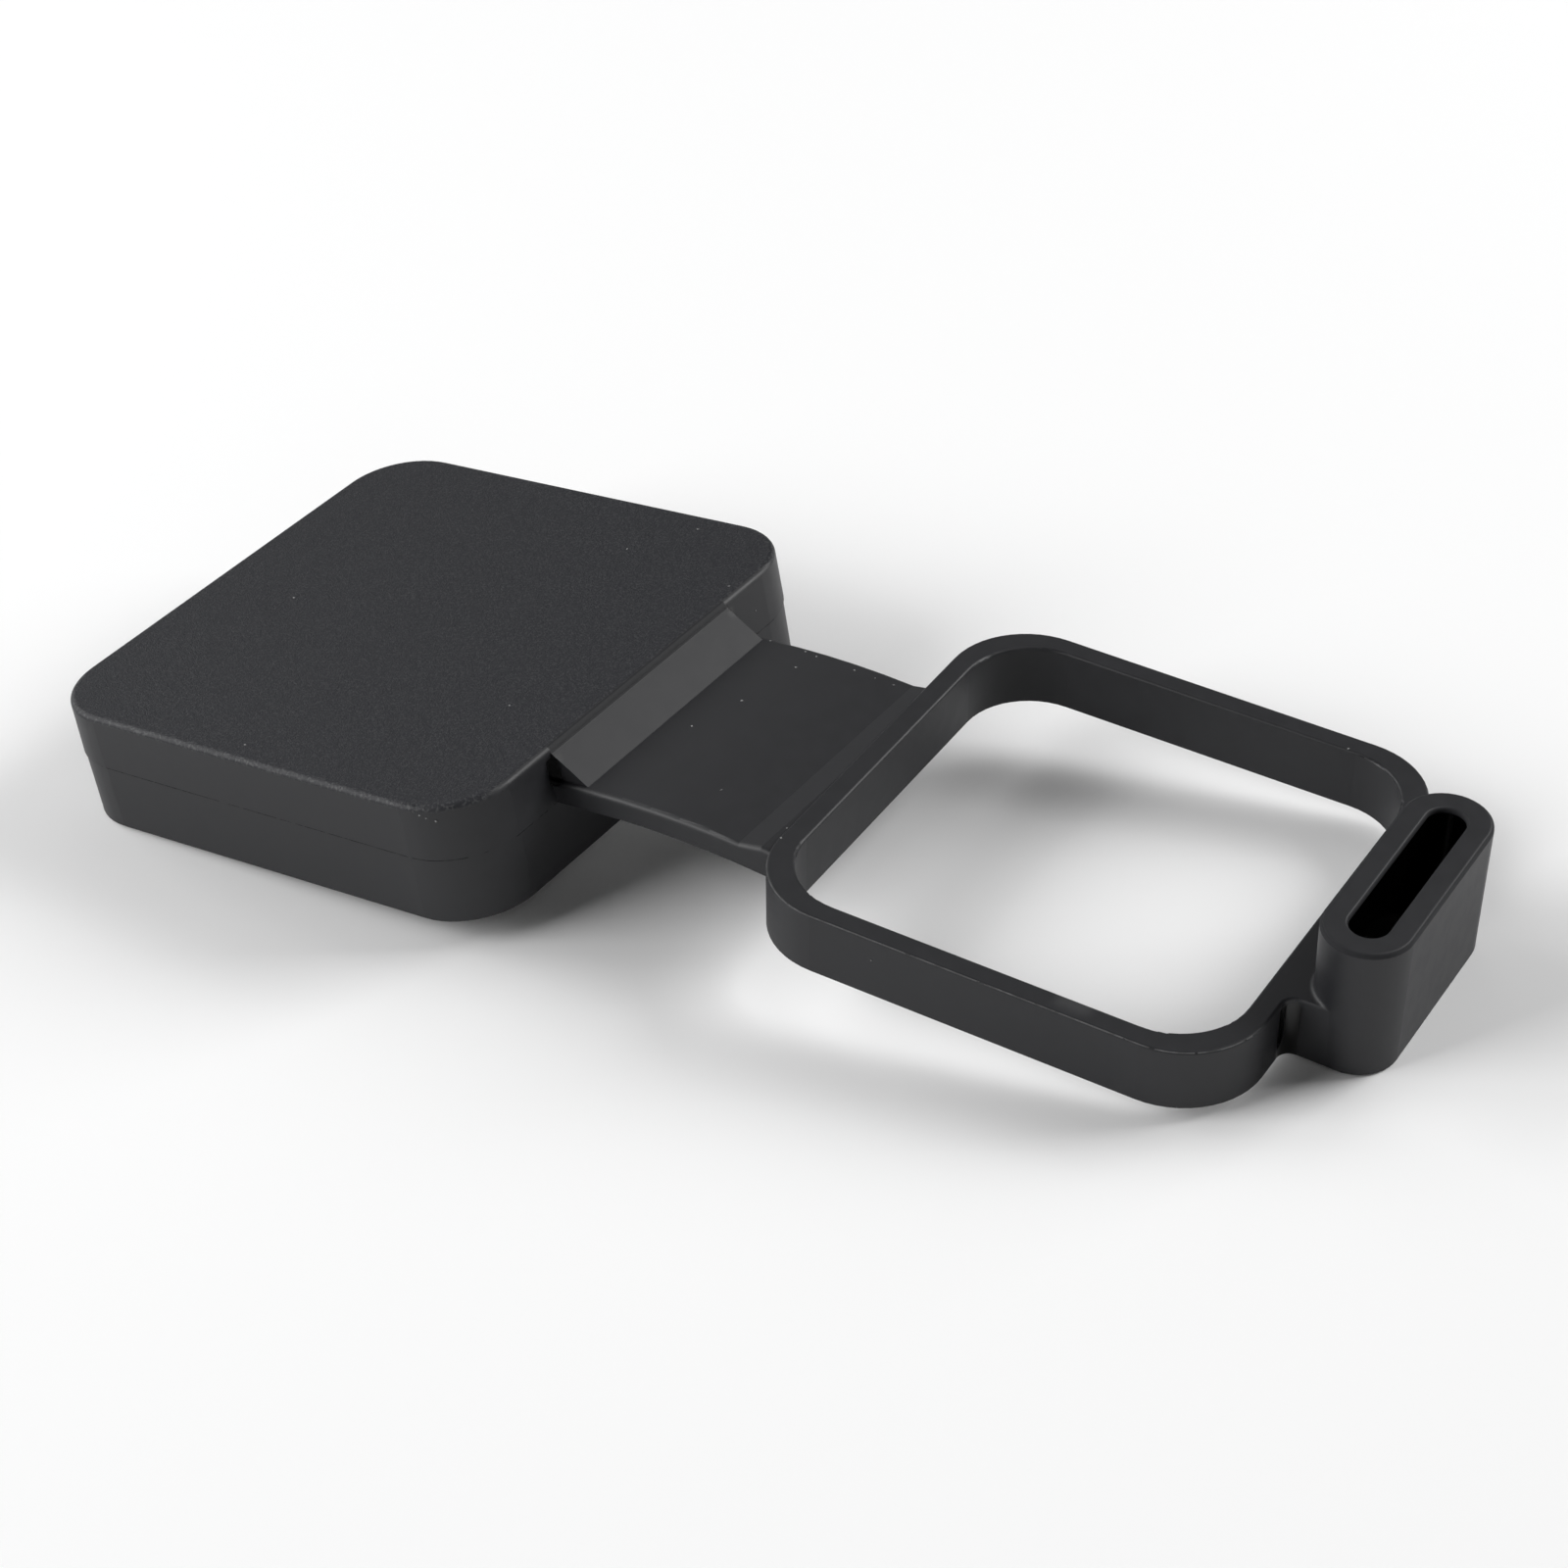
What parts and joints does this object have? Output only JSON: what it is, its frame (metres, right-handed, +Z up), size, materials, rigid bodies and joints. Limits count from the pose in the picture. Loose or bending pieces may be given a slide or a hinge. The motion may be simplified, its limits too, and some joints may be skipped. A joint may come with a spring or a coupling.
{
  "type": "hitch receiver cover",
  "caption": "Moulded rubber cover for a trailer hitch receiver: square cap on a short strap, a square ring that stays round the receiver tube, and a slotted boss on the ring.",
  "frame": {"origin": "on the floor, under the middle of the part's bounding box, as it lies", "axes": "+X from the cap along the strap to the ring and its boss, square to the ring in plan; +Z up; +Y across the ring"},
  "size_m": [0.1988, 0.0826, 0.0231],
  "materials": {
    "rubber": "satin"
  },
  "bodies": {
    "root": {"hitch_receiver_cover": "rubber"}
  },
  "joints": []
}
